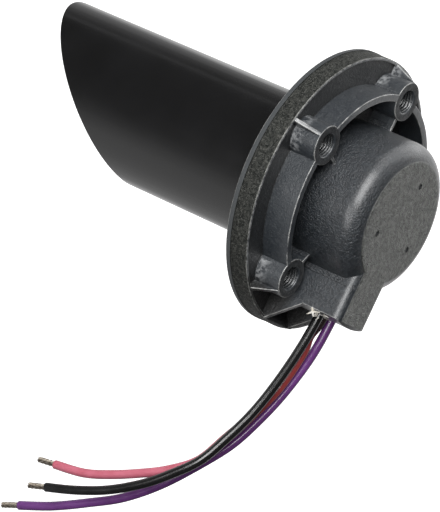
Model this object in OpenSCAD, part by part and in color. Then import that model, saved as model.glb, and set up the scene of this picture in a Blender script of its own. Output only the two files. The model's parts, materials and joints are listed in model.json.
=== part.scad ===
// Tank level sender of the echo-sounding kind, millimetres, +Z up.
// The origin is the centre of the flange's mounting face. The moulded head stands above it,
// the sound-guiding tube hangs below it, and three short leads leave the block along +X.

/* [Flange] */

// Flange outside radius
flange_r = 35; // [34:0.25:37]
// Height of the pocket floors above the mounting face
floor_z = 5.4; // [5:0.1:6]
// Rise of the thin outer lip above the pocket floors
lip_rise = 0.8; // [0.4:0.1:1.4]
// Wall thickness of the outer lip
lip_w = 0.8; // [0.6:0.1:1.4]
// Radius of the bolt circle
bolt_circle_r = 27; // [26.5:0.1:27.5]
// Radius of each bolt hole
hole_r = 2.75; // [2.4:0.05:3]
// Width of the chamfer at the mouth of each bolt hole
hole_chamfer = 0.4; // [0.2:0.1:0.6]
// Outside radius of each bolt boss
boss_r = 4.9; // [4.6:0.1:5.1]
// Height of the boss faces and of the ring rib
boss_top_z = 12.8; // [11.8:0.2:13.6]
// Angle by which one hole is off even spacing, so that the sender fits one way only
key_shift = 4; // [0:0.5:5]
// Wall thickness of the ring rib that joins the bosses
ring_w = 1.8; // [1.4:0.1:2.2]
// Thickness of the gussets and of the short inner ribs
rib_w = 0.9; // [0.8:0.1:1.4]

/* [Dome and lead block] */

// Dome outside radius
dome_r = 19; // [18.8:0.1:19.6]
// Height of the dome's flat top
dome_top_z = 25.2; // [24.2:0.2:26.8]
// Edge rounding of the dome
dome_round = 4.75; // [4:0.25:5.5]
// Width of the lead block
block_w = 14.4; // [13.6:0.2:15.6]
// Distance of the block's flat top edge from the axis
block_end_x = 27.1; // [26.6:0.1:27.6]
// Bulge of the block's rounded end face beyond that edge
end_bulge = 0.9; // [0.6:0.1:1.1]
// Rounding of the block's two long top edges
block_round = 2.4; // [1.6:0.2:3]
// Thickness of the two sloping cheeks beside the lead exit
cheek_w = 1.4; // [1:0.1:1.8]

/* [Tube] */

// Tube outside radius
tube_r = 18.75; // [18.5:0.05:19]
// Tube wall thickness
tube_wall = 1.75; // [1.5:0.05:1.9]
// Length of the tube along its axis, from the mounting face to the slanted cut
tube_len = 66.25; // [56:0.25:76]
// Slant of the cut at the tube's open end, measured from a square cut
cut_angle = 43; // [30:1:46]
// Turn of the slanted cut about the axis
cut_turn = 8; // [-12:1:12]
// Radius of the vent hole near the flange
vent_r = 1.6; // [1:0.1:2.4]

/* [Leads] */

// Outside diameter of each insulated lead
lead_d = 2.3; // [2:0.1:2.5]
// Spacing between neighbouring leads
lead_pitch = 2.6; // [2.6:0.1:2.8]

/* [Sensor inside] */

// Radius of the sensor cup's body
cup_r = 12.9; // [12.4:0.1:13.2]
// Wall thickness of the sensor cup
cup_wall = 1.5; // [1.2:0.1:1.8]
// Thickness of the sounding disc
disc_h = 2.2; // [1.8:0.1:2.6]
// Thickness of the circuit board
board_h = 1.6; // [1.2:0.1:2]

/* [Hidden] */

$fn = 96;
lip_z = floor_z + lip_rise;
wall_r = flange_r - 0.15;
band_h = 1.4;
ring_out = bolt_circle_r + ring_w / 2;
ring_in = ring_out - ring_w;
hole_angles = [180, 252, 328 + (key_shift - 4), 36, 108];
rib_top_z = boss_top_z - 0.6;
dome_wall = 2;
cavity_r = dome_r - dome_wall;
cavity_top_z = dome_top_z - 2.2;
socket_h = 2.6;
seat_h = 2.2;
bore_r = tube_r - tube_wall;
socket_in = bore_r - 0.05;
socket_out = tube_r + 0.05;
hub_bore_r = cup_r + 0.1;
block_end_r = block_end_x + end_bulge;
duct_half = lead_pitch + lead_d / 2 + 0.8;
duct_low = 15.3;
duct_high = 19.7;
lead_z = 17.5;
cheek_top_z = 14.4;
cup_low_z = 0.4;
front_h = 2.4;
seal_h = 0.8;
cup_flange_z = floor_z + seal_h;
cup_flange_h = 1.4;
cup_top_z = floor_z + 3;
cup_in = cup_r - cup_wall;
disc_z = cup_low_z + front_h;
disc_r = cup_in - 1.9;
fill_h = 2;
fill_low_z = cup_flange_z + cup_flange_h;
fill_top_z = fill_low_z + fill_h;
board_z = 12;
board_r = cavity_r - 0.6;
board_top = board_z + board_h;
terminal_x = 11.5;
seal_in_x = block_end_x - 3.1;
tip_len = 5.5;
tip_turns = 240;

red_route = [[terminal_x, 0, 17.5], [20, 0, 17], [29, 0, 17], [33.5, 0, 15.9], [38, 0, 16.2],
    [47.5, 0, 14.5], [56, 0, 11.2], [64, 0, 7.1], [72, 0, 2.8], [77.5, 0, -3.8],
    [81.6, 0, -10.9], [85, 0, -17.8], [87.8, 0, -25], [89.3, 0, -33.5]];
black_route = [[terminal_x, -1, 17.5], [20, -1, 17.2], [29, -1, 17.2], [38, -1, 16.3],
    [47.5, -1, 14.5], [56, -1, 12.1], [64, -1, 8.7], [71.5, -1, 4.8], [77.6, -1, -0.8],
    [83, -1, -6.9], [88.3, -1, -15], [92.2, -1, -23.5], [95, -1, -31.5]];
purple_route = [[terminal_x, 1, 17.5], [20, 1, 18], [29, 1, 18], [38, 1, 17.2],
    [48, 1, 14.9], [56.5, 1, 11.9], [65, 1, 7.9], [73, 1, 2.1], [81.6, 1, -5.2],
    [88.7, 1, -13.2], [94.2, 1, -22.1], [99.1, 1, -31], [102.8, 1, -39.6]];
exit_z = [17.2, 17, 18];

// a point on the smooth curve between b and c
function on_curve(a, b, c, d, t) = 0.5 * (2 * b + (c - a) * t
    + (2 * a - 5 * b + 4 * c - d) * t * t + (3 * b - a - 3 * c + d) * t * t * t);

function stretch(p, i, n) = [for (k = [0 : n - 1])
    on_curve(p[max(i - 1, 0)], p[i], p[i + 1], p[min(i + 2, len(p) - 1)], k / n)];

function smooth(p, n) = concat([for (i = [0 : len(p) - 2]) each stretch(p, i, n)],
    [p[len(p) - 1]]);

// puts a route at its place across the row of leads
function across(p) = [for (q = p) [q[0], q[1] * lead_pitch, q[2]]];

function unit(v) = v / norm(v);

function heading(c, i) = unit(c[min(i + 1, len(c) - 1)] - c[max(i - 1, 0)]);

function hoop(c, i, r, n) = let (t = heading(c, i), u = unit(cross(t, [0, 1, 0])),
    s = cross(u, t)) [for (k = [0 : n - 1])
    c[i] + r * (cos(360 * k / n) * s + sin(360 * k / n) * u)];

module cord(route, r) {
    c = smooth(across(route), 2);
    n = 8;
    m = len(c);
    points = [for (i = [0 : m - 1]) each hoop(c, i, r, n)];
    sides = [for (i = [0 : m - 2]) for (k = [0 : n - 1]) each [
        [i * n + k, (i + 1) * n + k, i * n + (k + 1) % n],
        [(i + 1) * n + k, (i + 1) * n + (k + 1) % n, i * n + (k + 1) % n]]];
    first = [[for (k = [0 : n - 1]) k]];
    last = [[for (k = [0 : n - 1]) (m - 1) * n + n - 1 - k]];
    polyhedron(points = points, faces = concat(sides, first, last), convexity = 4);
}

module ring_of(r_out, r_in, z, h) {
    translate([0, 0, z]) difference() {
        cylinder(r = r_out, h = h);
        translate([0, 0, -1]) cylinder(r = r_in, h = h + 2);
    }
}

// a plate standing on edge in the plane through the axis at angle a
module radial_plate(a, thickness) {
    rotate([0, 0, a]) rotate([90, 0, 0]) translate([0, 0, -thickness / 2])
        linear_extrude(height = thickness) children();
}

// outline of the ring rib and the bosses that it joins, open around the lead block
module ring_and_boss_outline() {
    difference() {
        circle(r = ring_out);
        circle(r = ring_in);
        translate([bolt_circle_r - 9, -12]) square([20, 26]);
    }
    for (a = hole_angles) rotate(a) translate([bolt_circle_r, 0]) circle(r = boss_r);
}

module bosses() {
    translate([0, 0, 2]) linear_extrude(height = boss_top_z - 2) ring_and_boss_outline();
    for (a = hole_angles) {
        // outer gusset, from the lip up to the boss face
        radial_plate(a, rib_w) polygon([[bolt_circle_r, 2], [wall_r - 0.6, 2],
            [wall_r - 0.4, lip_z], [bolt_circle_r + boss_r, boss_top_z - 0.2],
            [bolt_circle_r, boss_top_z - 0.2]]);
        // short inner rib, from the boss to the dome
        radial_plate(a, rib_w) polygon([[dome_r - 1, 2], [bolt_circle_r - 3.4, 2],
            [bolt_circle_r - 3.4, rib_top_z], [dome_r - 1, rib_top_z]]);
    }
}

module dome() {
    rotate_extrude() union() {
        square([dome_r - dome_round, dome_top_z]);
        square([dome_r, dome_top_z - dome_round]);
        translate([dome_r - dome_round, dome_top_z - dome_round])
            intersection() {
                circle(r = dome_round);
                square(dome_round);
            }
    }
}

// the block's outline seen along the leads
module block_section() {
    half = block_w / 2;
    union() {
        translate([-half, 1]) square([block_w, dome_top_z - block_round - 1]);
        translate([-half + block_round, 1])
            square([block_w - 2 * block_round, dome_top_z - 1]);
        for (s = [-1, 1]) translate([s * (half - block_round), dome_top_z - block_round])
            circle(r = block_round);
    }
}

// the block's end: a flat top up to a straight edge, and a nose that follows the flange
module block_end() {
    translate([-1, -block_w, 0]) cube([block_end_x + 1, 2 * block_w, dome_top_z + 1]);
    rotate_extrude() polygon([[0, 0], [block_end_r, 0], [block_end_r, dome_top_z - 0.7],
        [block_end_x - 0.2, dome_top_z - 0.1], [0, dome_top_z - 0.1]]);
}

module lead_block() {
    intersection() {
        rotate([90, 0, 90]) linear_extrude(height = block_end_r + 1) block_section();
        block_end();
    }
}

module cheeks() {
    for (s = [0, 1]) mirror([0, s, 0])
        translate([0, -block_w / 2 + cheek_w, 0]) rotate([90, 0, 0])
            linear_extrude(height = cheek_w)
            polygon([[block_end_x - 2, 2], [flange_r, 2], [flange_r, lip_z - 0.6],
                [flange_r - 0.7, lip_z], [block_end_x, cheek_top_z],
                [block_end_x - 2, cheek_top_z]]);
}

// hollow in front of the block where the leads pass over the rim, with a sloping floor
module lead_trough() {
    half = block_w / 2 - cheek_w;
    difference() {
        translate([0, half, 0]) rotate([90, 0, 0]) linear_extrude(height = 2 * half)
            polygon([[block_end_x - 1, 2.6], [block_end_x + 1.6, 2.6], [flange_r - 1, lip_z],
                [flange_r - 1, lip_z + 4], [block_end_x - 1, lip_z + 4]]);
        cylinder(r = block_end_r, h = 20);
    }
}

// smooth band round the foot of the flange, with a small chamfer at the mounting face
module edge_band() {
    rotate_extrude() polygon([[0, 0], [flange_r - 0.4, 0], [flange_r, 0.4],
        [flange_r, band_h], [0, band_h]]);
}

module flange() {
    edge_band();
    cylinder(r = wall_r, h = floor_z);
    ring_of(wall_r, wall_r - lip_w, floor_z - 0.5, lip_rise + 0.5);
    // solid apron between the cheeks, up to the lip
    intersection() {
        translate([block_end_x - 1, -block_w / 2, 1]) cube([20, block_w, lip_z - 1]);
        cylinder(r = wall_r, h = 20);
    }
}

module dimples() {
    for (a = [-60, 60, 174]) rotate([0, 0, a])
        translate([9.8, 0, dome_top_z - 0.35]) cylinder(r = 0.75, h = 2);
}

module cavity() {
    // closed room for the electronics
    translate([0, 0, floor_z]) rotate_extrude() union() {
        square([cavity_r - 3, cavity_top_z - floor_z]);
        square([cavity_r, cavity_top_z - floor_z - 3]);
        translate([cavity_r - 3, cavity_top_z - floor_z - 3]) intersection() {
            circle(r = 3);
            square(3);
        }
    }
    // opening for the sensor cup
    translate([0, 0, -1]) cylinder(r = hub_bore_r, h = floor_z + 2);
    // groove that seats the tube
    ring_of(socket_out, socket_in, -1, socket_h + 1);
    // duct for the leads through the block
    translate([cavity_r - 4, -duct_half, duct_low])
        cube([block_end_x - cavity_r + 7, 2 * duct_half, duct_high - duct_low]);
}

module board_ledges() {
    intersection() {
        ring_of(cavity_r + 0.3, cavity_r - 1.4, fill_top_z, board_z - fill_top_z);
        union() for (a = [45, 135, 225, 315]) rotate([0, 0, a])
            translate([10, -1.5, 0]) cube([12, 3, 20]);
    }
}

module bolt_hole() {
    translate([bolt_circle_r, 0, -1]) cylinder(r = hole_r, h = boss_top_z + 2);
    translate([bolt_circle_r, 0, boss_top_z - hole_chamfer])
        cylinder(r1 = hole_r, r2 = hole_r + 2 * hole_chamfer, h = 2 * hole_chamfer);
}

module head_moulding() {
    color([0.13, 0.14, 0.14]) {
        difference() {
            union() {
                intersection() {
                    union() {
                        flange();
                        bosses();
                        cheeks();
                    }
                    union() {
                        edge_band();
                        cylinder(r = wall_r, h = 40);
                    }
                }
                dome();
                lead_block();
            }
            cavity();
            lead_trough();
            dimples();
            for (a = hole_angles) rotate([0, 0, a]) bolt_hole();
        }
        board_ledges();
    }
}

module focus_tube() {
    color([0.07, 0.07, 0.075]) difference() {
        translate([0, 0, -tube_len - 40]) cylinder(r = tube_r, h = tube_len + 40 + seat_h);
        translate([0, 0, -tube_len - 41]) cylinder(r = bore_r, h = tube_len + 50);
        // slanted cut, the long side towards -X
        translate([0, 0, -tube_len]) rotate([0, 0, cut_turn]) rotate([0, -cut_angle, 0])
            translate([-60, -60, -80]) cube([120, 120, 80]);
        // vent hole on the side away from the leads' front
        translate([0, 0, -6]) rotate([-90, 0, 0]) cylinder(r = vent_r, h = 30);
    }
}

module tube_adhesive() {
    color([0.55, 0.5, 0.4]) ring_of(socket_out, socket_in, seat_h, socket_h - seat_h);
}

module cup_seal() {
    color([0.1, 0.1, 0.1]) ring_of(cup_r + 2.4, cup_r + 0.3, floor_z, seal_h);
}

module sensor_cup() {
    color([0.85, 0.83, 0.76]) difference() {
        union() {
            translate([0, 0, cup_low_z]) cylinder(r = cup_r, h = cup_top_z - cup_low_z);
            translate([0, 0, cup_flange_z]) cylinder(r = cup_r + 2.6, h = cup_flange_h);
        }
        translate([0, 0, -1]) cylinder(r = cup_in, h = 20);
    }
}

module front_layer() {
    color([0.72, 0.74, 0.7]) translate([0, 0, cup_low_z]) cylinder(r = cup_in, h = front_h);
}

module sounding_disc() {
    color([0.76, 0.72, 0.6]) translate([0, 0, disc_z]) cylinder(r = disc_r, h = disc_h);
}

module damping_ring() {
    color([0.25, 0.25, 0.27]) ring_of(cup_in, disc_r, disc_z, disc_h);
}

module backing_puck() {
    color([0.32, 0.27, 0.22]) translate([0, 0, disc_z + disc_h])
        cylinder(r = cup_in, h = cup_top_z - disc_z - disc_h);
}

module sealing_compound() {
    color([0.2, 0.2, 0.22]) ring_of(cavity_r, cup_r, fill_low_z, fill_h);
}

module sensor_wires() {
    color([0.75, 0.2, 0.15]) for (s = [-1, 1]) translate([3 * s, 4, cup_top_z])
        cylinder(r = 0.4, h = board_z - cup_top_z, $fn = 24);
}

module temperature_probe() {
    color([0.1, 0.1, 0.1]) translate([5, -6, cup_top_z])
        cylinder(r = 1.1, h = board_z - cup_top_z, $fn = 32);
}

module circuit_board() {
    color([0.06, 0.3, 0.16]) difference() {
        translate([0, 0, board_z]) cylinder(r = board_r, h = board_h);
        translate([-board_r - 1, -1.5, board_z - 1]) cube([3, 3, 5]);
    }
}

module wire_terminal() {
    color([0.1, 0.35, 0.2]) difference() {
        translate([terminal_x - 5.5, -5.2, board_top]) cube([5.5, 10.4, 19.4 - board_top]);
        for (s = [-1 : 1]) translate([terminal_x - 2.8, s * lead_pitch, 18.6])
            cylinder(r = 0.9, h = 2, $fn = 24);
    }
}

module processor_chip() {
    color([0.08, 0.08, 0.09]) translate([-7, -7.5, board_top]) cube([7, 7, 1.4]);
}

module driver_chip() {
    color([0.1, 0.1, 0.11]) translate([-11.5, -3.5, board_top]) cube([3, 6, 1.6]);
}

module pulse_transformer() {
    color([0.35, 0.33, 0.3]) translate([-6, 7, board_top]) {
        cylinder(r = 4, h = 1, $fn = 48);
        cylinder(r = 2.6, h = 5, $fn = 48);
        translate([0, 0, 4]) cylinder(r = 4, h = 1, $fn = 48);
    }
}

module storage_capacitor() {
    color([0.55, 0.57, 0.6]) translate([3, -10.8, board_top]) cylinder(r = 2.5, h = 6, $fn = 48);
}

module timing_can() {
    color([0.75, 0.75, 0.72]) translate([-8, -12, board_top]) cube([8, 3, 2.4]);
}

module protection_diodes() {
    color([0.12, 0.12, 0.12]) for (k = [0, 1])
        translate([1.5 + 3.4 * k, 8.6, board_top]) cube([2, 4, 1.6]);
}

module chip_resistors() {
    color([0.15, 0.16, 0.2]) for (k = [0 : 3])
        translate([1.2, -4.6 + 2.2 * k, board_top]) cube([1.8, 1, 0.6]);
}

// the block's solid end, without the duct
module block_wall() {
    difference() {
        cylinder(r = block_end_r, h = 30);
        translate([0, -duct_half, duct_low])
            cube([40, 2 * duct_half, duct_high - duct_low]);
    }
}

module exit_sealant() {
    color([0.82, 0.78, 0.68]) difference() {
        union() {
            translate([seal_in_x, -duct_half, duct_low])
                cube([block_end_x + 0.5 - seal_in_x, 2 * duct_half, duct_high - duct_low]);
            // thin collar round the roots of the leads
            translate([block_end_x + 0.3, 0, lead_z + 0.1]) scale([0.6, 3.1, 1.3])
                sphere(r = 1.35, $fn = 32);
            // lump that was squeezed out beside them
            translate([block_end_x + 0.6, -4.7, lead_z - 0.7]) scale([0.9, 1.1, 0.9])
                sphere(r = 1.4, $fn = 28);
        }
        block_wall();
        for (s = [-1 : 1]) translate([seal_in_x - 1, s * lead_pitch, exit_z[s + 1]])
            rotate([0, 90, 0]) cylinder(r = lead_d / 2, h = 8);
    }
}

module lead_red() {
    color([0.8, 0.32, 0.42]) cord(red_route, lead_d / 2);
}

module lead_black() {
    color([0.08, 0.08, 0.09]) cord(black_route, lead_d / 2);
}

module lead_purple() {
    color([0.33, 0.15, 0.42]) cord(purple_route, lead_d / 2);
}

// bare twisted strands on the end of a lead
module twisted_tip(route) {
    c = smooth(across(route), 2);
    e = c[len(c) - 1];
    t = heading(c, len(c) - 1);
    translate(e) rotate([0, atan2(t[0], t[2]), 0])
        linear_extrude(height = tip_len, twist = tip_turns, slices = 8, $fn = 13) union() {
            for (a = [0, 120, 240]) rotate(a) translate([0.42, 0]) circle(r = 0.42, $fn = 7);
        }
}

module tip_red() {
    color([0.6, 0.55, 0.48]) twisted_tip(red_route);
}

module tip_black() {
    color([0.6, 0.55, 0.48]) twisted_tip(black_route);
}

module tip_purple() {
    color([0.6, 0.55, 0.48]) twisted_tip(purple_route);
}

head_moulding();
focus_tube();
tube_adhesive();
cup_seal();
sensor_cup();
front_layer();
sounding_disc();
damping_ring();
backing_puck();
sealing_compound();
sensor_wires();
temperature_probe();
circuit_board();
wire_terminal();
processor_chip();
driver_chip();
pulse_transformer();
storage_capacitor();
timing_can();
protection_diodes();
chip_resistors();
exit_sealant();
lead_red();
lead_black();
lead_purple();
tip_red();
tip_black();
tip_purple();
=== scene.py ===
"""Looks of a tank level sender: a flange with a domed head, a satin black sound tube and three leads."""

import json
from math import cos, pi, radians, sin

import bmesh
import bpy
from mathutils import Matrix, Vector, noise
from mathutils.bvhtree import BVHTree


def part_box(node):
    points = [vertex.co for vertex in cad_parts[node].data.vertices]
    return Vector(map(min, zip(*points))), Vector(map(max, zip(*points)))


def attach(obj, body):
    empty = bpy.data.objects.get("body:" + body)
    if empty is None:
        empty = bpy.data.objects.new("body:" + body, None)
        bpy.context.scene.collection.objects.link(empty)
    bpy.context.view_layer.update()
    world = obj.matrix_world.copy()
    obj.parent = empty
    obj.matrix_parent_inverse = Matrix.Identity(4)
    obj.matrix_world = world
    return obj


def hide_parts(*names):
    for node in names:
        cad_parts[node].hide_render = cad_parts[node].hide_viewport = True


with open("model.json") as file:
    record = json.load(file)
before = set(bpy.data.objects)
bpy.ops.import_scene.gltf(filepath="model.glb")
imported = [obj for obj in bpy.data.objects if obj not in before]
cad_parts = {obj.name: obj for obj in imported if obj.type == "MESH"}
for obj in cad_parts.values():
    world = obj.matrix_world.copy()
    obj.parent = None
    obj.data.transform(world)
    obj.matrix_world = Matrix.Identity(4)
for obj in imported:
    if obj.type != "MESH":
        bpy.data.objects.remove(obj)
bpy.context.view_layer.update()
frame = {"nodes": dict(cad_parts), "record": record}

MM = 0.001
scene = bpy.context.scene

# Sizes of the real part, in millimetres
FLANGE_R = 35.0
BAND_TOP_Z = 1.4
POCKET_FLOOR_Z = 5.6
LIP_Z = 6.2
BOSS_R = 4.9
BOSS_TOP_Z = 12.8
RING_INSIDE_R = 20.4
RING_OUTSIDE_R = 28.6
DIMPLES_R = 13.5
BLOCK_END_R = 28.0
BLOCK_EDGE_X = 26.8
DOME_TOP_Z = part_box("head_moulding")[1].z / MM
BOLT_HOLES = [m for m in frame["record"]["mounts"] if m["name"].startswith("bolt_hole")]
HOLE_R = BOLT_HOLES[0]["dims"]["r_mm"]
HOLES = [Vector(m["pos_m"][:2]) for m in BOLT_HOLES]

LEAD_D = 2.3
LEAD_PITCH = 2.6
LEAD_START_X = BLOCK_END_R - 1.5
TIP_LEN = 5.5

# Route of each lead, in millimetres: along X, place in the row of leads, along Z
RED_ROUTE = [
    (11.5, 0, 17.5), (20, 0, 17), (29, 0, 17), (33.5, 0, 15.9), (38, 0, 16.2), (47.5, 0, 14.5),
    (56, 0, 11.2), (64, 0, 7.1), (72, 0, 2.8), (77.5, 0, -3.8), (81.6, 0, -10.9), (85, 0, -17.8),
    (87.8, 0, -25), (89.3, 0, -33.5),
]
BLACK_ROUTE = [
    (11.5, -1, 17.5), (20, -1, 17.2), (29, -1, 17.2), (38, -1, 16.3), (47.5, -1, 14.5),
    (56, -1, 12.1), (64, -1, 8.7), (71.5, -1, 4.8), (77.6, -1, -0.8), (83, -1, -6.9),
    (88.3, -1, -15), (92.2, -1, -23.5), (95, -1, -31.5),
]
PURPLE_ROUTE = [
    (11.5, 1, 17.5), (20, 1, 18), (29, 1, 18), (38, 1, 17.2), (48, 1, 14.9), (56.5, 1, 11.9),
    (65, 1, 7.9), (73, 1, 2.1), (81.6, 1, -5.2), (88.7, 1, -13.2), (94.2, 1, -22.1), (99.1, 1, -31),
    (102.8, 1, -39.6),
]


# Small helpers

def link(obj):
    scene.collection.objects.link(obj)
    return obj


def mesh_object(name, bm, material=None):
    mesh = bpy.data.meshes.new(name)
    bm.to_mesh(mesh)
    bm.free()
    if material:
        mesh.materials.append(material)
    return link(bpy.data.objects.new(name, mesh))


def placed_axes(place, right, up, back):
    """Matrix of an object at a place, with its own X, Y and Z along three directions."""
    return Matrix.Translation(place) @ Matrix((right, up, back)).transposed().to_4x4()


def stand_in(piece, node):
    """Lets a finished piece stand for a CAD node: hangs it under the root body and hides the node."""
    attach(piece, "root")
    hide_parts(node)


# Camera, as it stood for the photograph

CAMERA_PLACE = Vector((25.278, -591.264, 339.092)) * MM
CAMERA_RIGHT = Vector((-0.42578, 0.46602, 0.77560))
CAMERA_UP = Vector((-0.90484, -0.21929, -0.36497))
CAMERA_LENS = 198.6
SENSOR_WIDTH = 36


def product_camera():
    data = bpy.data.cameras.new("product_camera")
    data.lens = CAMERA_LENS
    data.sensor_width = SENSOR_WIDTH
    data.clip_start = 0.05
    data.clip_end = 20
    camera = link(bpy.data.objects.new("product_camera", data))
    back = CAMERA_RIGHT.cross(CAMERA_UP)
    camera.matrix_world = placed_axes(CAMERA_PLACE, CAMERA_RIGHT, CAMERA_UP, back)
    scene.camera = camera


product_camera()


# Paths and sleeves of the leads

STEPS_BETWEEN_POINTS = 8
SLEEVE_SIDES = 24
SLEEVE_UNEVENNESS = 0.012
WAVES_ALONG = 180
WAVES_ROUND = 0.35

# The cut end rolls over and closes on the wire: millimetres past the end, share of the radius
CUT_END = ((0.10, 0.985), (0.18, 0.93), (0.22, 0.84), (0.22, 0.50), (0.10, 0.40))


def on_curve(a, b, c, d, t):
    """Point of the smooth curve through a, b, c and d, a share t of the way from b to c."""
    return 0.5 * (2 * b + (c - a) * t + (2 * a - 5 * b + 4 * c - d) * t * t
                  + (3 * b - a - 3 * c + d) * t * t * t)


def smooth_route(points):
    out = []
    last = len(points) - 1
    for i in range(last):
        before, after = points[max(i - 1, 0)], points[min(i + 2, last)]
        for k in range(STEPS_BETWEEN_POINTS):
            out.append(on_curve(before, points[i], points[i + 1], after, k / STEPS_BETWEEN_POINTS))
    out.append(points[last])
    return out


def lead_path(route):
    """The stretch of a lead's route from just inside the block's rounded end to the cut of its sleeve."""
    points = [Vector((x, row * LEAD_PITCH, z)) * MM for x, row, z in route]
    path = [p for p in smooth_route(points) if p.x > LEAD_START_X * MM]
    start = path[0].copy()
    start.x = LEAD_START_X * MM
    return [start] + path[1:]


def heading(path, i):
    return (path[min(i + 1, len(path) - 1)] - path[max(i - 1, 0)]).normalized()


def sleeve_stations(path):
    """Place, heading, share of the radius and run of each ring of a sleeve."""
    stations = []
    run = 0.0
    for i, place in enumerate(path):
        if i:
            run += (place - path[i - 1]).length
        stations.append((place, heading(path, i), 1.0, run))
    end, ahead, _, _ = stations[-1]
    for past, share in CUT_END:
        stations.append((end + ahead * past * MM, ahead, share, run + past * MM))
    return stations


def sleeve_ring(bm, station, radius, seed):
    place, ahead, share, run = station
    across = ahead.cross(Vector((0, 1, 0))).normalized()
    side = across.cross(ahead)
    ring = []
    for k in range(SLEEVE_SIDES):
        angle = 2 * pi * k / SLEEVE_SIDES
        wave = noise.noise(Vector((run * WAVES_ALONG, k * WAVES_ROUND, seed)))
        out = cos(angle) * side + sin(angle) * across
        ring.append(bm.verts.new(place + radius * share * (1 + SLEEVE_UNEVENNESS * wave) * out))
    return ring


def sleeve_mesh(name, path, radius, material, seed):
    """A lead's sleeve: a round tube with a rolled cut end, and a UV map in metres round and along it."""
    bm = bmesh.new()
    uv = bm.loops.layers.uv.new("lay")
    rings = [(sleeve_ring(bm, s, radius, seed), s[-1]) for s in sleeve_stations(path)]
    for (a, run_a), (b, run_b) in zip(rings, rings[1:]):
        for k in range(SLEEVE_SIDES):
            n = (k + 1) % SLEEVE_SIDES
            face = bm.faces.new((a[k], a[n], b[n], b[k]))
            face.smooth = True
            corners = ((k, run_a), (k + 1, run_a), (k + 1, run_b), (k, run_b))
            for loop, (u, v) in zip(face.loops, corners):
                loop[uv].uv = (u / SLEEVE_SIDES * 2 * pi * radius, v)
    bm.faces.new(list(reversed(rings[0][0])))
    bm.faces.new(rings[-1][0])
    bmesh.ops.recalc_face_normals(bm, faces=bm.faces)
    return mesh_object(name, bm, material)


# Nodes, for shaders and Geometry Nodes alike

def feed(tree, socket, value):
    """Links a socket to another node's output, or sets it to a plain value."""
    if isinstance(value, bpy.types.NodeSocket):
        tree.links.new(value, socket)
    else:
        socket.default_value = value


def new_node(tree, kind, settings=None, **inputs):
    """A node with its settings made first and its named inputs fed after them."""
    node = tree.nodes.new(kind)
    for name, value in (settings or {}).items():
        setattr(node, name, value)
    for name, value in inputs.items():
        feed(tree, node.inputs[name.replace("_", " ")], value)
    return node


def math_node(tree, operation, *values):
    node = new_node(tree, "ShaderNodeMath", {"operation": operation})
    for socket, value in zip(node.inputs, values):
        feed(tree, socket, value)
    return node.outputs[0]


def plus(tree, a, b):
    return math_node(tree, "ADD", a, b)


def minus(tree, a, b):
    return math_node(tree, "SUBTRACT", a, b)


def times(tree, a, b):
    return math_node(tree, "MULTIPLY", a, b)


def larger(tree, a, b):
    return math_node(tree, "MAXIMUM", a, b)


def vector_node(tree, operation, *values):
    node = new_node(tree, "ShaderNodeVectorMath", {"operation": operation})
    for socket, value in zip(node.inputs, values):
        feed(tree, socket, value)
    return node


def axes_of(tree, vector):
    return new_node(tree, "ShaderNodeSeparateXYZ", Vector=vector).outputs


def range_node(tree, value, low, high, to_low=0.0, to_high=1.0):
    node = new_node(tree, "ShaderNodeMapRange", Value=value, From_Min=low, From_Max=high,
                    To_Min=to_low, To_Max=to_high)
    return node.outputs[0]


def noise_node(tree, vector, scale, detail=3.0, roughness=0.5):
    node = new_node(tree, "ShaderNodeTexNoise", Vector=vector, Scale=scale, Detail=detail,
                    Roughness=roughness)
    return node.outputs["Fac"]


def stretched(tree, vector, scale, turn=(0, 0, 0)):
    return new_node(tree, "ShaderNodeMapping", Vector=vector, Scale=scale, Rotation=turn).outputs[0]


def mixed_color(tree, mask, a, b):
    """The first colour where the mask is 0 and the second where it is 1."""
    a, b = ((*color, 1) if isinstance(color, tuple) else color for color in (a, b))
    return new_node(tree, "ShaderNodeMix", {"data_type": "RGBA"}, Factor=mask, A=a, B=b).outputs["Result"]


# Shader groups

def new_group(name, inputs, outputs):
    tree = bpy.data.node_groups.new(name, "ShaderNodeTree")
    tree.interface.new_socket("Vector", in_out="INPUT", socket_type="NodeSocketVector")
    for label, value in inputs.items():
        socket = tree.interface.new_socket(label, in_out="INPUT", socket_type="NodeSocketFloat")
        socket.default_value = value
    for label in outputs:
        tree.interface.new_socket(label, in_out="OUTPUT", socket_type="NodeSocketFloat")
    return tree, tree.nodes.new("NodeGroupInput").outputs, tree.nodes.new("NodeGroupOutput").inputs


def grain_group():
    """Moulded grain: fine pits and peaks over a coarser mottle, with the brightest peaks as flecks."""
    outputs = ("Height", "Mottle Mask", "Fleck")
    tree, given, out = new_group("moulded_grain", {"Scale": 1800.0, "Mottle": 0.5}, outputs)
    fine = noise_node(tree, given["Vector"], given["Scale"], 2.0, 0.6)
    coarse_scale = times(tree, given["Scale"], 0.42)
    coarse = noise_node(tree, given["Vector"], coarse_scale, 4.0, 0.62)
    patch = times(tree, coarse, given["Mottle"])
    feed(tree, out["Height"], plus(tree, fine, patch))
    feed(tree, out["Mottle Mask"], range_node(tree, coarse, 0.42, 0.60))
    feed(tree, out["Fleck"], range_node(tree, fine, 0.54, 0.66))
    return tree


def edge_rub_and_highlight_group():
    """Edge rub and painted highlight: bright where the edge attribute is 1, broken up by noise."""
    tree, given, out = new_group("edge_rub_and_painted_highlight", {"Edge": 0.0, "Amount": 0.5}, ("Mask",))
    broken = range_node(tree, noise_node(tree, given["Vector"], 420.0, 4.0, 0.7), 0.35, 0.65)
    rub = times(tree, given["Edge"], broken)
    feed(tree, out["Mask"], times(tree, rub, given["Amount"]))
    return tree


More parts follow.
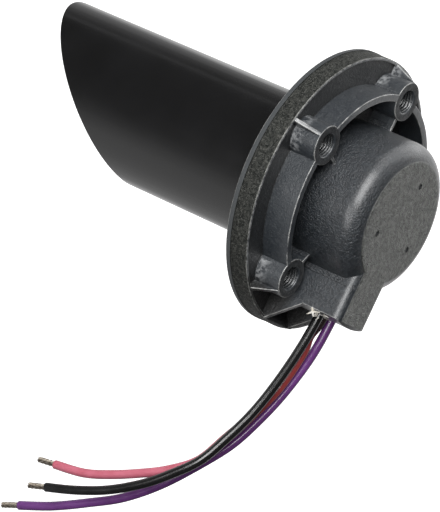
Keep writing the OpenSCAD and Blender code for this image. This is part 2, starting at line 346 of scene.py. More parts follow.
def scuff_group():
    """Faint scuffs and handling marks: long thin streaks in two directions over soft patches."""
    tree, given, out = new_group("handling_scuffs", {"Amount": 0.3}, ("Mask",))
    streaks = []
    for turn, stretch in ((0.5, 0.06), (2.1, 0.09)):
        lay = stretched(tree, given["Vector"], (1.0, stretch, 1.0), (0.2, 0.1, turn))
        streaks.append(range_node(tree, noise_node(tree, lay, 900.0, 2.0, 0.5), 0.66, 0.74))
    patch = range_node(tree, noise_node(tree, given["Vector"], 110.0, 3.0, 0.6), 0.45, 0.62)
    both = times(tree, larger(tree, *streaks), patch)
    feed(tree, out["Mask"], times(tree, both, given["Amount"]))
    return tree


GRAIN = grain_group()
EDGE_RUB_AND_HIGHLIGHT = edge_rub_and_highlight_group()
SCUFF = scuff_group()


# What the materials share

def new_material(name, color, roughness, metallic=0.0, specular=0.5):
    material = bpy.data.materials.new(name)
    material.use_nodes = True
    shader = material.node_tree.nodes["Principled BSDF"]
    shader.inputs["Base Color"].default_value = (*color, 1)
    shader.inputs["Roughness"].default_value = roughness
    shader.inputs["Metallic"].default_value = metallic
    shader.inputs["Specular IOR Level"].default_value = specular
    return material, material.node_tree, shader


def object_vector(tree):
    return tree.nodes.new("ShaderNodeTexCoord").outputs["Object"]


def placed_group(tree, group, vector, **values):
    return new_node(tree, "ShaderNodeGroup", {"node_tree": group}, Vector=vector, **values).outputs


def bump(tree, shader, height, strength, depth):
    """Relief from a height, with its depth in millimetres."""
    node = new_node(tree, "ShaderNodeBump", Strength=strength, Distance=depth * MM, Height=height)
    feed(tree, shader.inputs["Normal"], node.outputs[0])


def split_place(tree, vector):
    """Distance from the axis, and height, of a point in Object coordinates."""
    axes = axes_of(tree, vector)
    flat = new_node(tree, "ShaderNodeCombineXYZ", X=axes["X"], Y=axes["Y"]).outputs[0]
    return vector_node(tree, "LENGTH", flat).outputs["Value"], axes["Z"]


def between(tree, value, low, high):
    """0 at the first size and 1 at the second, both in millimetres."""
    return range_node(tree, value, low * MM, high * MM)


def above(tree, value, size):
    """0 below a size in millimetres and 1 above it."""
    return between(tree, value, size - 0.05, size + 0.05)


SCUFF_TONE = (0.10, 0.10, 0.095)


def rubbed_and_highlit_edges(tree, vector, base, tone):
    """Base colour with its rounded edges made lighter, partly as rub and partly as a painted highlight, and
    a few scuffs.
    """
    edge = new_node(tree, "ShaderNodeAttribute", {"attribute_name": "edge"}).outputs["Fac"]
    rub_and_highlight = placed_group(tree, EDGE_RUB_AND_HIGHLIGHT, vector, Edge=edge, Amount=0.9)
    scuff = placed_group(tree, SCUFF, vector, Amount=0.15)
    # painted highlight: the rounded edges are lightened, partly as rub and partly as the shine they catch
    rubbed_and_highlit = mixed_color(tree, rub_and_highlight["Mask"], base, tone)
    return mixed_color(tree, scuff["Mask"], rubbed_and_highlit, SCUFF_TONE)


# Plastic of the flange and the head

# Tones of single marks and zones
# The edge tones are partly rub and partly a painted highlight on the rounded edges
RUBBED_AND_HIGHLIGHT_TONE = (0.30, 0.30, 0.29)
RUBBED_RIM_AND_HIGHLIGHT_TONE = (0.20, 0.20, 0.19)
FEET_TONE = (0.17, 0.175, 0.18)
FLOOR_TONE = (0.009, 0.010, 0.011)
# Painted shade: the lead trough beside the block is painted near black for the shadow that falls there
TROUGH_PAINTED_SHADE = (0.003, 0.003, 0.003)
FLECK_TONE = (0.085, 0.088, 0.090)
RIM_FLECK_TONE = (0.11, 0.11, 0.10)
PIT_TONE = (0.018, 0.019, 0.017)
BAND_TONE = (0.038, 0.041, 0.043)

# Dark and light tone of each mottled surface
WALL_TONES = ((0.004, 0.006, 0.009), (0.012, 0.016, 0.020))
RING_TONES = ((0.011, 0.014, 0.018), (0.016, 0.020, 0.024))
# The top's tones are its own mottle, lifted as a painted reflection of the bright surround
TOP_TONES_WITH_PAINTED_REFLECTION = ((0.040, 0.043, 0.038), (0.125, 0.130, 0.119))
BOSS_TONES = ((0.012, 0.013, 0.014), (0.030, 0.032, 0.034))
RIM_TONES = ((0.003, 0.004, 0.003), (0.021, 0.022, 0.019))
# The screw holes' light tone paints glints on the ridges' crests
BORE_TONES_WITH_PAINTED_GLINTS = ((0.020, 0.022, 0.024), (0.10, 0.105, 0.108))

# Heights between which the bosses' feet get lighter mottled patches and the lead trough gets its painted
# shade, in millimetres
FEET_Z = (9.2, 6.8)
TROUGH_Z = (12.0, 9.0)

# Height from one ridge in a screw hole to the next, in millimetres
BORE_RIDGE_PITCH = 0.75

# Share of the sheen that each dull zone lacks
LESS_SHEEN = {"trough": 0.8, "floor": 0.6, "top": 0.75}


def head_zones(tree, vector):
    """Masks of the head's flat top, ring and bosses, the bosses' feet, pocket floors and lead trough."""
    reach, height = split_place(tree, vector)
    off_dome = above(tree, reach, RING_INSIDE_R)
    ring_level = minus(tree, above(tree, height, POCKET_FLOOR_Z + 0.1),
                       above(tree, height, BOSS_TOP_Z + 0.1))
    ring = times(tree, off_dome, ring_level)
    beyond_ring = times(tree, above(tree, reach, RING_OUTSIDE_R), ring)
    beyond_block = between(tree, axes_of(tree, vector)["X"], BLOCK_END_R - 2.5, BLOCK_END_R - 0.5)
    return {
        "top": above(tree, height, DOME_TOP_Z - 0.15),
        "ring": ring,
        "feet": times(tree, beyond_ring, between(tree, height, *FEET_Z)),
        "floor": minus(tree, 1.0, above(tree, height, POCKET_FLOOR_Z)),
        # mask where the lead trough is painted with shade
        "trough": times(tree, between(tree, height, *TROUGH_Z), beyond_block),
        "off_dome": off_dome,
    }


def leathery_top(tree, vector, mottle):
    """Colour of the dome's flat top: two greys, lifted well above the walls' as a painted reflection, with
    small dark pits.
    """
    tone = mixed_color(tree, mottle, *TOP_TONES_WITH_PAINTED_REFLECTION)
    cells = new_node(tree, "ShaderNodeTexVoronoi", Vector=vector, Scale=420.0)
    pit = range_node(tree, cells.outputs["Distance"], 0.24, 0.10)
    return mixed_color(tree, times(tree, pit, 0.7), tone, PIT_TONE)


def head_color(tree, vector, zone, grain, top):
    """Colour of the head, laid on zone by zone, then flecked, and lightened at the edges as rub and painted
    highlight.
    """
    mottle = grain["Mottle Mask"]
    wall = mixed_color(tree, mottle, *WALL_TONES)
    ring = mixed_color(tree, mottle, *RING_TONES)
    base = mixed_color(tree, zone["ring"], wall, ring)
    # lighter mottled patches toward the bosses' feet
    base = mixed_color(tree, times(tree, zone["feet"], mottle), base, FEET_TONE)
    base = mixed_color(tree, zone["floor"], base, FLOOR_TONE)
    # painted shade: the lead trough goes near black
    base = mixed_color(tree, zone["trough"], base, TROUGH_PAINTED_SHADE)
    # painted reflection: the flat top is much lighter than the walls
    base = mixed_color(tree, zone["top"], base, top)
    base = mixed_color(tree, times(tree, grain["Fleck"], 0.22), base, FLECK_TONE)
    return rubbed_and_highlit_edges(tree, vector, base, RUBBED_AND_HIGHLIGHT_TONE)


def head_plastic():
    """Dark grey filled plastic with a sheen: spark-eroded dome, leathery top, smoother ring and block."""
    material, tree, shader = new_material("head_plastic", (0.025, 0.027, 0.029), 0.5, specular=0.55)
    shader.inputs["Coat Roughness"].default_value = 0.33
    vector = object_vector(tree)
    zone = head_zones(tree, vector)
    grain = placed_group(tree, GRAIN, vector, Scale=2300.0, Mottle=0.7)
    leathery = placed_group(tree, GRAIN, vector, Scale=2500.0, Mottle=1.6)
    top = leathery_top(tree, vector, leathery["Mottle Mask"])
    feed(tree, shader.inputs["Base Color"], head_color(tree, vector, zone, grain, top))
    feed(tree, shader.inputs["Roughness"], range_node(tree, grain["Mottle Mask"], 0, 1, 0.44, 0.52))
    # the trough, the pocket floors and the top have less of the sheen
    trough, floor, flat_top = (times(tree, zone[name], lost) for name, lost in LESS_SHEEN.items())
    lost_sheen = plus(tree, plus(tree, trough, floor), flat_top)
    feed(tree, shader.inputs["Coat Weight"], minus(tree, 1.0, lost_sheen))
    # the ring and the block are smoother than the dome and the top
    grained = minus(tree, 1.0, times(tree, zone["off_dome"], 0.65))
    worn = times(tree, leathery["Height"], times(tree, zone["top"], 2.2))
    bump(tree, shader, plus(tree, times(tree, grain["Height"], grained), worn), 1.0, 0.42)
    return material


def boss_plastic():
    """The bosses' flat ends: the same plastic, darker and dull, with a few scuffs."""
    material, tree, shader = new_material("boss_plastic", (0.02, 0.021, 0.023), 0.5, specular=0.4)
    vector = object_vector(tree)
    grain = placed_group(tree, GRAIN, vector, Scale=2600.0, Mottle=1.0)
    base = mixed_color(tree, grain["Mottle Mask"], *BOSS_TONES)
    feed(tree, shader.inputs["Base Color"], rubbed_and_highlit_edges(tree, vector, base, RUBBED_AND_HIGHLIGHT_TONE))
    bump(tree, shader, grain["Height"], 0.8, 0.2)
    return material


def rim_plastic():
    """The same plastic on the flange's side: a stony, duller skin over a smooth foot band."""
    material, tree, shader = new_material("rim_plastic", (0.03, 0.03, 0.03), 0.6, specular=0.25)
    vector = object_vector(tree)
    above_band = above(tree, split_place(tree, vector)[1], BAND_TOP_Z)
    stony = placed_group(tree, GRAIN, vector, Scale=2600.0, Mottle=1.0)
    rim = mixed_color(tree, stony["Mottle Mask"], *RIM_TONES)
    rim = mixed_color(tree, times(tree, stony["Fleck"], 0.35), rim, RIM_FLECK_TONE)
    base = mixed_color(tree, above_band, BAND_TONE, rim)
    feed(tree, shader.inputs["Base Color"], rubbed_and_highlit_edges(tree, vector, base, RUBBED_RIM_AND_HIGHLIGHT_TONE))
    feed(tree, shader.inputs["Roughness"], range_node(tree, above_band, 0, 1, 0.42, 0.58))
    bump(tree, shader, times(tree, stony["Height"], above_band), 1.0, 0.35)
    return material


def bore_plastic():
    """The screw holes' walls: shiny, with the close ridges that the mould pin left, their crests painted
    lighter as glints.
    """
    material, tree, shader = new_material("bore_plastic", (0.022, 0.024, 0.026), 0.22, specular=0.8)
    vector = object_vector(tree)
    height = split_place(tree, vector)[1]
    uneven = noise_node(tree, vector, 500.0, 3.0, 0.6)
    turns = times(tree, height, 2 * pi / (BORE_RIDGE_PITCH * MM))
    ridge = math_node(tree, "SINE", plus(tree, turns, times(tree, uneven, 5.0)))
    # painted highlight: the ridges' crests are painted lighter as their glints
    tone = mixed_color(tree, range_node(tree, ridge, 0.2, 1.0), *BORE_TONES_WITH_PAINTED_GLINTS)
    feed(tree, shader.inputs["Base Color"], tone)
    feed(tree, shader.inputs["Roughness"], range_node(tree, uneven, 0.35, 0.65, 0.18, 0.34))
    bump(tree, shader, ridge, 0.9, 0.10)
    return material


# Tube, leads, bare wire and sealant

TUBE_TONES = ((0.0012, 0.0012, 0.0013), (0.0022, 0.0022, 0.0025))
WIRE_TONES = ((0.16, 0.12, 0.09), (0.46, 0.43, 0.37))
SEALANT_TONES = ((0.30, 0.27, 0.21), (0.56, 0.55, 0.53))
RED_SLEEVE_TONES = ((0.31, 0.07, 0.098), (0.37, 0.10, 0.14))
BLACK_SLEEVE_TONES = ((0.004, 0.004, 0.004), (0.006, 0.006, 0.006))
PURPLE_SLEEVE_TONES = ((0.075, 0.022, 0.105), (0.105, 0.030, 0.145))
# Painted shade on the red sleeve: darker red, then near black, toward the block where the lead lies in
# shadow
RED_PAINTED_SHADE_NEAR_BLOCK = (0.20, 0.028, 0.028)
RED_PAINTED_DEEP_SHADE_AT_BLOCK = (0.02, 0.01, 0.01)


def tube_plastic():
    """Smooth satin black plastic with the faint lengthwise lines of drawn tube."""
    material, tree, shader = new_material("tube_plastic", (0.004, 0.004, 0.0045), 0.2, specular=1.0)
    vector = object_vector(tree)
    lines = noise_node(tree, stretched(tree, vector, (1, 1, 0.03)), 900.0, 3.0, 0.6)
    cloud = noise_node(tree, vector, 60.0, 3.0, 0.5)
    feed(tree, shader.inputs["Roughness"], range_node(tree, cloud, 0.3, 0.7, 0.17, 0.23))
    tone = mixed_color(tree, range_node(tree, cloud, 0.35, 0.65), *TUBE_TONES)
    feed(tree, shader.inputs["Base Color"], tone)
    bump(tree, shader, lines, 0.10, 0.04)
    return material


def sleeve_plastic(name, tones, shade_near_block=None, deep_shade_at_block=None):
    """Soft extruded wire sleeve: slight colour drift, fine die lines, and painted shade toward the block.
    """
    material, tree, shader = new_material(name, tones[1], 0.2, specular=0.9)
    lay = new_node(tree, "ShaderNodeUVMap", {"uv_map": "lay"}).outputs[0]
    die = noise_node(tree, stretched(tree, lay, (1, 0.05, 1)), 2600.0, 2.0, 0.5)
    drift = noise_node(tree, object_vector(tree), 160.0, 3.0, 0.6)
    tone = mixed_color(tree, range_node(tree, drift, 0.35, 0.65), *tones)
    if shade_near_block:
        # painted shade: darker toward the block, near black right at it
        run = axes_of(tree, lay)["Y"]
        tone = mixed_color(tree, between(tree, run, 30, 52), shade_near_block, tone)
        tone = mixed_color(tree, between(tree, run, 5, 8), deep_shade_at_block, tone)
    feed(tree, shader.inputs["Base Color"], tone)
    feed(tree, shader.inputs["Roughness"], range_node(tree, drift, 0.3, 0.7, 0.17, 0.26))
    bump(tree, shader, die, 0.15, 0.06)
    return material


def tinned_wire():
    """Tinned copper, tarnished in small spots."""
    material, tree, shader = new_material("tinned_wire", (0.56, 0.50, 0.42), 0.38, metallic=1.0)
    tarnish = noise_node(tree, object_vector(tree), 1500.0, 4.0, 0.6)
    tone = mixed_color(tree, range_node(tree, tarnish, 0.35, 0.65), *WIRE_TONES)
    feed(tree, shader.inputs["Base Color"], tone)
    feed(tree, shader.inputs["Roughness"], range_node(tree, tarnish, 0.3, 0.7, 0.30, 0.55))
    bump(tree, shader, tarnish, 0.3, 0.04)
    return material


def sealant():
    """Pale dried sealant, cloudy and lumpy."""
    material, tree, shader = new_material("sealant", (0.62, 0.58, 0.50), 0.45)
    cloud = noise_node(tree, object_vector(tree), 700.0, 4.0, 0.6)
    tone = mixed_color(tree, range_node(tree, cloud, 0.35, 0.65), *SEALANT_TONES)
    feed(tree, shader.inputs["Base Color"], tone)
    feed(tree, shader.inputs["Roughness"], range_node(tree, cloud, 0.3, 0.7, 0.3, 0.55))
    bump(tree, shader, cloud, 0.4, 0.2)
    return material


# Pieces inside the head: dark tone, light tone, roughness, grain scale, grain depth in millimetres
INNER_FINISHES = {
    "seal_rubber": ((0.010, 0.010, 0.010), (0.02, 0.02, 0.02), 0.7, 1500, 0.05),
    "cup_plastic": ((0.58, 0.55, 0.44), (0.70, 0.67, 0.58), 0.42, 1500, 0.04),
    "front_epoxy": ((0.42, 0.44, 0.40), (0.50, 0.53, 0.48), 0.5, 900, 0.06),
    "ceramic": ((0.48, 0.42, 0.28), (0.58, 0.52, 0.36), 0.6, 3000, 0.02),
    "foam_rubber": ((0.04, 0.04, 0.045), (0.07, 0.07, 0.075), 0.9, 2600, 0.2),
    "backing_epoxy": ((0.07, 0.045, 0.03), (0.12, 0.08, 0.05), 0.55, 900, 0.08),
    "black_epoxy": ((0.008, 0.008, 0.009), (0.016, 0.016, 0.018), 0.25, 300, 0.2),
    "red_sleeve": ((0.42, 0.03, 0.02), (0.55, 0.05, 0.03), 0.4, 1500, 0.03),
    "board_laminate": ((0.005, 0.06, 0.02), (0.01, 0.10, 0.035), 0.35, 1800, 0.03),
    "terminal_plastic": ((0.01, 0.09, 0.03), (0.02, 0.14, 0.05), 0.45, 1800, 0.04),
    "chip_plastic": ((0.008, 0.008, 0.009), (0.014, 0.014, 0.015), 0.55, 3500, 0.03),
    "ferrite": ((0.08, 0.075, 0.065), (0.12, 0.11, 0.10), 0.6, 2500, 0.05),
    "can_metal": ((0.55, 0.55, 0.54), (0.66, 0.66, 0.64), 0.3, 1200, 0.02),
}
METALS = ("can_metal",)


def inner_finish(name, dark, light, roughness, scale, depth):
    """Two close tones in a cloud, with a fine surface of its own."""
    material, tree, shader = new_material(name, light, roughness, 1.0 if name in METALS else 0.0)
    grain = placed_group(tree, GRAIN, object_vector(tree), Scale=scale, Mottle=0.5)
    mottle = grain["Mottle Mask"]
    smoother, rougher = roughness * 0.9, min(roughness * 1.15, 1)
    feed(tree, shader.inputs["Base Color"], mixed_color(tree, mottle, dark, light))
    feed(tree, shader.inputs["Roughness"], range_node(tree, mottle, 0, 1, smoother, rougher))
    bump(tree, shader, grain["Height"], 0.25, depth)
    return material


MATERIALS = {
    "head_plastic": head_plastic(),
    "rim_plastic": rim_plastic(),
    "bore_plastic": bore_plastic(),
    "boss_plastic": boss_plastic(),
    "tube_plastic": tube_plastic(),
    "sealant": sealant(),
    "tinned_wire": tinned_wire(),
    "lead_red_sleeve": sleeve_plastic("lead_red_sleeve", RED_SLEEVE_TONES, RED_PAINTED_SHADE_NEAR_BLOCK, RED_PAINTED_DEEP_SHADE_AT_BLOCK),
    "lead_black_sleeve": sleeve_plastic("lead_black_sleeve", BLACK_SLEEVE_TONES),
    "lead_purple_sleeve": sleeve_plastic("lead_purple_sleeve", PURPLE_SLEEVE_TONES),
    **{name: inner_finish(name, *finish) for name, finish in INNER_FINISHES.items()},
}


def dress_cad_nodes():
    slots = {s["node"]: s["material_slot"] for s in frame["record"]["subparts"]}
    for node, obj in frame["nodes"].items():
        obj.data.materials.clear()
        obj.data.materials.append(MATERIALS[slots[node]])


dress_cad_nodes()


# Bare twisted ends of the leads

STRANDS = {
    "Strands": 6,
    "Strand Radius": 0.26 * MM,
    "Lay Radius": 0.52 * MM,
    "Length": (TIP_LEN - 0.45) * MM,
    "Turns": 0.75,
    "Spread": 0.06 * MM,
    "Seed": 0.0,
}
STRAND_STEPS = 24
STRAND_SIDES = 8
CORE_SIDES = 12
CORE_SHARE = 0.7
CORE_LIFT = 0.495
LOOSE_WAVES = 700.0


def strand_ring(tree, given):
    """One strand along a helix, repeated round the axis."""
    helix = new_node(tree, "GeometryNodeCurveSpiral", Resolution=STRAND_STEPS, Rotations=given["Turns"],
                     Start_Radius=given["Lay Radius"], End_Radius=given["Lay Radius"],
                     Height=given["Length"])
    section = new_node(tree, "GeometryNodeCurvePrimitiveCircle", Resolution=STRAND_SIDES,
                       Radius=given["Strand Radius"])
    strand = new_node(tree, "GeometryNodeCurveToMesh", Curve=helix.outputs["Curve"],
                      Profile_Curve=section.outputs["Curve"], Fill_Caps=True)
    row = new_node(tree, "GeometryNodeMeshLine", Count=given["Strands"], Offset=(0, 0, 0))
    index = tree.nodes.new("GeometryNodeInputIndex").outputs[0]
    share = math_node(tree, "DIVIDE", index, given["Strands"])
    turn = new_node(tree, "ShaderNodeCombineXYZ", Z=times(tree, share, 2 * pi))
    copies = new_node(tree, "GeometryNodeInstanceOnPoints", Points=row.outputs["Mesh"],
                      Instance=strand.outputs["Mesh"], Rotation=turn.outputs[0])
    return copies.outputs["Instances"]


def strand_core(tree, given):
    """A plain core that fills the middle of the twist, set back a little from its loose end."""
    core = new_node(tree, "GeometryNodeMeshCylinder", Vertices=CORE_SIDES,
                    Radius=times(tree, given["Lay Radius"], CORE_SHARE), Depth=given["Length"])
    lift = new_node(tree, "ShaderNodeCombineXYZ", Z=times(tree, given["Length"], CORE_LIFT))
    raised = new_node(tree, "GeometryNodeTransform", Geometry=core.outputs["Mesh"],
                      Translation=lift.outputs[0])
    return raised.outputs["Geometry"]


def loose_end(tree, given):
    """Offset that spreads the strands a little toward their loose end."""
    place = tree.nodes.new("GeometryNodeInputPosition").outputs[0]
    wave = new_node(tree, "ShaderNodeTexNoise", {"noise_dimensions": "4D"}, Vector=place, W=given["Seed"],
                    Scale=LOOSE_WAVES)
    centred = vector_node(tree, "SUBTRACT", wave.outputs["Color"], (0.5, 0.5, 0.5))
    along = math_node(tree, "DIVIDE", axes_of(tree, place)["Z"], given["Length"])
    shift = vector_node(tree, "SCALE", centred.outputs[0])
    feed(tree, shift.inputs["Scale"], times(tree, along, given["Spread"]))
    return shift.outputs[0]


def strand_tree():
    """Twisted strands: a core and a ring of helices, from a count, radii, a length and turns."""
    tree = bpy.data.node_groups.new("twisted_strands", "GeometryNodeTree")
    tree.interface.new_socket("Geometry", in_out="INPUT", socket_type="NodeSocketGeometry")
    for label, value in STRANDS.items():
        kind = "NodeSocketInt" if isinstance(value, int) else "NodeSocketFloat"
        socket = tree.interface.new_socket(label, in_out="INPUT", socket_type=kind)
        socket.default_value = value
    tree.interface.new_socket("Material", in_out="INPUT", socket_type="NodeSocketMaterial")
    tree.interface.new_socket("Geometry", in_out="OUTPUT", socket_type="NodeSocketGeometry")
    given = tree.nodes.new("NodeGroupInput").outputs
    join = tree.nodes.new("GeometryNodeJoinGeometry")
    feed(tree, join.inputs["Geometry"], strand_ring(tree, given))
    feed(tree, join.inputs["Geometry"], strand_core(tree, given))
    solid = new_node(tree, "GeometryNodeRealizeInstances", Geometry=join.outputs[0])
    moved = new_node(tree, "GeometryNodeSetPosition", Geometry=solid.outputs[0],
                     Offset=loose_end(tree, given))
    soft = new_node(tree, "GeometryNodeSetShadeSmooth", Geometry=moved.outputs[0])
    colored = new_node(tree, "GeometryNodeSetMaterial", Geometry=soft.outputs[0],
                       Material=given["Material"])
    new_node(tree, "NodeGroupOutput", Geometry=colored.outputs[0])
    return tree


def baked_tree(name, tree, values):
    """Runs a geometry tree on an empty mesh and returns the result as a plain mesh object."""
    holder = link(bpy.data.objects.new(name + "_source", bpy.data.meshes.new(name + "_source")))
    modifier = holder.modifiers.new("tree", "NODES")
    modifier.node_group = tree
    sockets = {s.name: s.identifier for s in tree.interface.items_tree if s.in_out == "INPUT"}
    for label, value in values.items():
        modifier[sockets[label]] = value
    depsgraph = bpy.context.evaluated_depsgraph_get()
    mesh = bpy.data.meshes.new_from_object(holder.evaluated_get(depsgraph))
    mesh.name = name
    holder.modifiers.remove(modifier)
    bpy.data.objects.remove(holder)
    return link(bpy.data.objects.new(name, mesh))


STRAND_TREE = strand_tree()


def bare_end(name, path, seed):
    end, ahead = path[-1], heading(path, len(path) - 1)
    values = {**STRANDS, "Seed": float(seed), "Material": MATERIALS["tinned_wire"]}
    tip = baked_tree(name, STRAND_TREE, values)
    tip.data.transform(Matrix.Translation(end) @ ahead.to_track_quat("Z", "Y").to_matrix().to_4x4())
    return tip


def lead(color, route, seed):
    """One lead: its sleeve, with its bare end on it."""
    path = lead_path(route)
    slot = f"lead_{color}_sleeve"
    sleeve = sleeve_mesh(f"{color}_lead", path, LEAD_D / 2 * MM, MATERIALS[slot], seed)
    tip = bare_end(f"{color}_bare_end", path, seed)
    stand_in(sleeve, f"lead_{color}")
    stand_in(tip, f"tip_{color}")


# Sealant where the leads leave the block

# Bits of dried sealant, in millimetres: two ends and their thicknesses
SEALANT_BITS = (
    ((27.15, -7.0, 17.2), (27.9, -6.9, 17.6), 0.30, 0.42),
    ((27.9, -6.9, 17.6), (28.9, -6.9, 16.5), 0.36, 0.12),
    ((27.9, -6.9, 17.6), (28.8, -6.7, 18.2), 0.36, 0.14),
    ((27.9, -6.9, 17.6), (27.3, -6.9, 19.3), 0.34, 0.12),
    ((27.4, -5.6, 20.2), (27.5, -5.3, 21.2), 0.26, 0.14),
    ((28.6, -4.6, 18.4), (29.3, -4.3, 17.9), 0.18, 0.10),
)
BEADS_PER_BIT = 6
BIT_UNEVENNESS = 0.35
BIT_WAVES = 2500


def sealant_bit(bm, start, end, thick, thin):
    """A tapering lump of sealant, as a row of uneven beads that run into one another."""
    for k in range(BEADS_PER_BIT):
        share = k / (BEADS_PER_BIT - 1)
        place = Vector(start).lerp(Vector(end), share) * MM
        radius = (thick + (thin - thick) * share) * MM
        bead = bmesh.ops.create_icosphere(bm, subdivisions=2, radius=radius)
        for vert in bead["verts"]:
            wave = noise.noise(vert.co * BIT_WAVES + Vector((share, thick, 0)) * 9)
            vert.co *= 1 + BIT_UNEVENNESS * wave
            vert.co += place


def sealant_with_bits():
    """The CAD's plug of sealant with small lumps of it left around the leads."""
    bm = bmesh.new()
    bm.from_mesh(frame["nodes"]["exit_sealant"].data)
    for bit in SEALANT_BITS:
        sealant_bit(bm, *bit)
    for face in bm.faces:
        face.smooth = True
    piece = mesh_object("exit_sealant_flecks", bm, MATERIALS["sealant"])
    stand_in(piece, "exit_sealant")


sealant_with_bits()
lead("red", RED_ROUTE, 1)
lead("black", BLACK_ROUTE, 2)
lead("purple", PURPLE_ROUTE, 3)


# Mouldings with rounded edges

# Sizes in millimetres
HEAD_ROUNDING = 0.2
TUBE_ROUNDING = 0.25
SAME_POINT = 0.004
SHORT_EDGE = 0.6
FOLD_DEPTH = 0.3

SHARP_EDGE = radians(50)
SHARP_CORNER = radians(24)
NEARLY_FLAT = radians(0.4)
RING_SECTORS = 18
RING_CORNERS = 16
MOST_MENDS = 8
NO_AREA = 1e-12


def cut_ring_faces(bm):
    """Cuts each face that runs right round the axis into sectors, a little off the even angles."""
    for k in range(RING_SECTORS):
        angle = (k + 0.3) * pi / RING_SECTORS
        rings = [f for f in bm.faces if len(f.verts) > RING_CORNERS]
        around = list(dict.fromkeys(item for f in rings for item in (*f.verts, *f.edges)))
        bmesh.ops.bisect_plane(bm, geom=rings + around, dist=0.001 * MM, plane_co=(0, 0, 0),
                               plane_no=(-sin(angle), cos(angle), 0))


def round_edges(bm, width, too_small):
    """Rounds the sharp outer edges; corners of the new faces carry edge = 1."""
    sharp = [e for e in bm.edges if e.is_convex and e.calc_face_angle(0) > SHARP_EDGE
             and not too_small((e.verts[0].co + e.verts[1].co) / 2)]
    made = bmesh.ops.bevel(bm, geom=sharp, offset=width * MM, offset_type="OFFSET", segments=2,
                           profile=0.5, affect="EDGES", clamp_overlap=False)
    edge = bm.loops.layers.float.new("edge")
    for face in made["faces"]:
        for loop in face.loops:
            loop[edge] = 1.0


def turned_faces(bm, shape):
    """Faces of a rounded copy that look the other way than the CAD surface beside them."""
    found = []
    for face in bm.faces:
        _, normal, _, away = shape.find_nearest(face.calc_center_median())
        if face.calc_area() < NO_AREA or (normal.dot(face.normal) < -0.1 and away < FOLD_DEPTH * MM):
            found.append(face)
    return found


def close_folds(bm, shape):
    """Closes the slivers that are left where small edges meet and the rounding folds over itself."""
    bmesh.ops.triangulate(bm, faces=bm.faces)
    bm.normal_update()
    for _ in range(MOST_MENDS):
        folded = turned_faces(bm, shape)
        if not folded:
            break
        short = dict.fromkeys(min(face.edges, key=lambda e: e.calc_length()) for face in folded)
        bmesh.ops.collapse(bm, edges=[e for e in short if e.calc_length() < SHORT_EDGE * MM])
        bmesh.ops.dissolve_degenerate(bm, dist=SAME_POINT / 2 * MM, edges=bm.edges)
        bm.normal_update()


def rounded_copy(node, name, width, too_small=lambda place: False, reach=None):
    """A copy of a CAD node with its sharp edges rounded, kept within a reach of the axis."""
    source = frame["nodes"][node].data
    bm = bmesh.new()
    bm.from_mesh(source)
    shape = BVHTree.FromBMesh(bm)
    bmesh.ops.remove_doubles(bm, verts=bm.verts, dist=SAME_POINT * MM)
    bmesh.ops.dissolve_limit(bm, angle_limit=NEARLY_FLAT, verts=bm.verts, edges=bm.edges)
    cut_ring_faces(bm)
    round_edges(bm, width, too_small)
    close_folds(bm, shape)
    for vert in bm.verts:
        if reach and vert.co.xy.length > reach * MM:
            vert.co.xy *= reach * MM / vert.co.xy.length
    for face in bm.faces:
        face.smooth = True
    for line in bm.edges:
        line.smooth = line.calc_face_angle(0) < (SHARP_EDGE if line.is_convex else SHARP_CORNER)
    piece = mesh_object(name, bm, source.materials[0])
    normals = piece.modifiers.new("face_normals", "WEIGHTED_NORMAL")
    normals.keep_sharp = True
    return piece


# How deep each skin of the head reaches, in millimetres
RIM_DEPTH = 0.5
BORE_DEPTH = 0.12
BOSS_END_DEPTH = 0.25


def too_small_on_head(place):
    """The top's dimples, the top's edge at the block's rounded end, and the step over the foot band."""
    if place.z > (DOME_TOP_Z - 0.8) * MM:
        return place.x > BLOCK_EDGE_X * MM or place.xy.length < DIMPLES_R * MM
    return abs(place.z - BAND_TOP_Z * MM) < 0.05 * MM


def skin_at(place, normal):
    """Name of the material on a face of the head: rim, wall of a screw hole, end of a boss, or the rest."""
    if place.xy.length > (FLANGE_R - RIM_DEPTH) * MM and place.z < (LIP_Z - 0.03) * MM:
        return "rim_plastic"
    from_hole = min((place.xy - hole).length for hole in HOLES)
    if from_hole < (HOLE_R + BORE_DEPTH) * MM:
        return "bore_plastic"
    at_boss_top = abs(place.z - BOSS_TOP_Z * MM) < BOSS_END_DEPTH * MM
    if at_boss_top and normal.z > 0.9 and from_hole < BOSS_R * MM:
        return "boss_plastic"
    return "head_plastic"


def flange_and_head():
    """The whole head moulding, with its four skins."""
    skins = ("head_plastic", "rim_plastic", "bore_plastic", "boss_plastic")
    piece = rounded_copy("head_moulding", "flange_and_head", HEAD_ROUNDING, too_small_on_head,
                         FLANGE_R - 0.02)
    for skin in skins[1:]:
        piece.data.materials.append(MATERIALS[skin])
    for face in piece.data.polygons:
        face.material_index = skins.index(skin_at(face.center, face.normal))
    stand_in(piece, "head_moulding")


flange_and_head()
stand_in(rounded_copy("focus_tube", "sound_tube", TUBE_ROUNDING), "focus_tube")


# Floor, background and lamps

# Strengths of the plain light on dull surfaces and of the room that glossy ones see
WORLD_LIGHT = 0.19
DIM_ROOM = 0.05

# Height of the floor, and the point that the lamps face, in metres
FLOOR_Z = -0.24
AIM = Vector((0.005, 0, 0.01))

# Directions in which glossy surfaces find something brighter than the dim room
TABLE = (0.50, 0.60, -0.62)
SWEEP = (0.0, 0.857, -0.515)
WALL = (-0.30, 0.95, 0.0)
DOWN = (0, 0, -1)

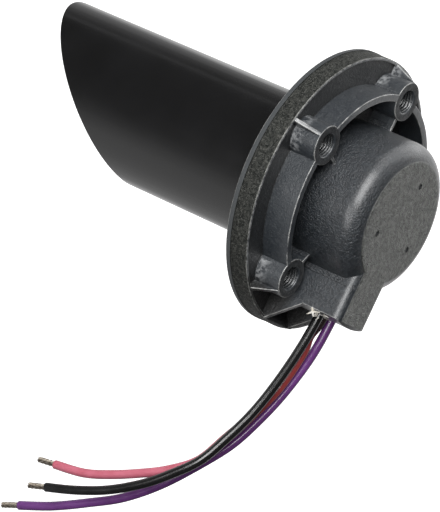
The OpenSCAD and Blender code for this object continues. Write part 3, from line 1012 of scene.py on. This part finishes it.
# Each lamp: direction from the part, distance and size in metres, light, direction of its second side
LAMPS = {
    "key_box": ((-0.35, -0.90, 0.33), 0.7, (0.62, 0.44), 1.80, (0, 0, 1)),
    "lead_strip": ((0.33, -0.93, -0.15), 0.7, (0.10, 0.30), 0.20, (0.66, 0, 0.75)),
    "side_strip": ((0.44, -0.857, 0.22), 0.7, (0.07, 0.32), 0.18, (0.40, 0, -0.92)),
    "top_panel": ((-0.93, 0.15, 0.20), 0.8, (1.4, 0.7), 0.86, (0, 0, 1)),
    "edge_strip": ((-0.857, 0.0, -0.515), 0.35, (0.03, 0.5), 0.007, (0, 0, 1)),
}


def toward(tree, look, direction, low, high, dark=0.0, bright=1.0):
    """Brightness that rises as a looked-at direction turns toward the given one."""
    lean = vector_node(tree, "DOT_PRODUCT", look, Vector(direction).normalized())
    return range_node(tree, lean.outputs["Value"], low, high, dark, bright)


def mirrored_room(tree):
    """What glossy surfaces see: a pale table below, a white sweep behind, a low wall, and a dim room."""
    look = tree.nodes.new("ShaderNodeTexCoord").outputs["Generated"]
    table = times(tree, toward(tree, look, TABLE, 0.02, 0.50, 0.10, 0.55),
                  toward(tree, look, DOWN, 0.15, 0.45))
    sweep = toward(tree, look, SWEEP, 0.66, 0.98, 0.0, 0.8)
    wall = times(tree, toward(tree, look, WALL, 0.70, 0.82), toward(tree, look, DOWN, -0.63, -0.54))
    return larger(tree, larger(tree, table, sweep), larger(tree, wall, DIM_ROOM))


def studio():
    """White to the camera, the room to glossy surfaces, and a plain low light to the rest."""
    world = bpy.data.worlds.new("studio")
    scene.world = world
    world.use_nodes = True
    tree = world.node_tree
    ray = tree.nodes.new("ShaderNodeLightPath").outputs
    mirrored = larger(tree, ray["Is Glossy Ray"], ray["Is Transmission Ray"])
    seen = larger(tree, ray["Is Camera Ray"], times(tree, mirrored, mirrored_room(tree)))
    other = minus(tree, 1.0, larger(tree, ray["Is Glossy Ray"], ray["Is Camera Ray"]))
    background = tree.nodes["Background"]
    background.inputs["Color"].default_value = (1, 1, 1, 1)
    feed(tree, background.inputs["Strength"], larger(tree, seen, times(tree, other, WORLD_LIGHT)))


def pale_floor():
    """White to the camera apart from the part's shadow, and clear from below."""
    material, tree, shader = new_material("floor_paint", (0.8, 0.8, 0.8), 0.9, specular=0.0)
    ray = tree.nodes.new("ShaderNodeLightPath").outputs
    shader.inputs["Emission Color"].default_value = (1, 1, 1, 1)
    feed(tree, shader.inputs["Emission Strength"], range_node(tree, ray["Is Camera Ray"], 0, 1, 0.0, 0.9))
    side = tree.nodes.new("ShaderNodeNewGeometry").outputs["Backfacing"]
    clear = tree.nodes.new("ShaderNodeBsdfTransparent")
    both = new_node(tree, "ShaderNodeMixShader", Fac=side)
    feed(tree, both.inputs[1], shader.outputs[0])
    feed(tree, both.inputs[2], clear.outputs[0])
    feed(tree, tree.nodes["Material Output"].inputs["Surface"], both.outputs[0])
    bm = bmesh.new()
    bmesh.ops.create_grid(bm, x_segments=1, y_segments=1, size=4)
    floor = mesh_object("pale_floor", bm, material)
    floor.location = (0, 0, FLOOR_Z)
    floor.visible_glossy = False


def softbox(name, direction, distance, size, light, along):
    """An area lamp that gives a surface facing it this share of full light."""
    data = bpy.data.lights.new(name, "AREA")
    data.shape = "RECTANGLE"
    data.size, data.size_y = size
    data.energy = light * (pi * distance) ** 2
    lamp = link(bpy.data.objects.new(name, data))
    back = Vector(direction).normalized()
    across = Vector(along).cross(back).normalized()
    lamp.matrix_world = placed_axes(AIM + back * distance, across, back.cross(across), back)


studio()
pale_floor()
for lamp_name, lamp in LAMPS.items():
    softbox(lamp_name, *lamp)

bpy.context.view_layer.update()
scene.view_settings.view_transform = "Standard"
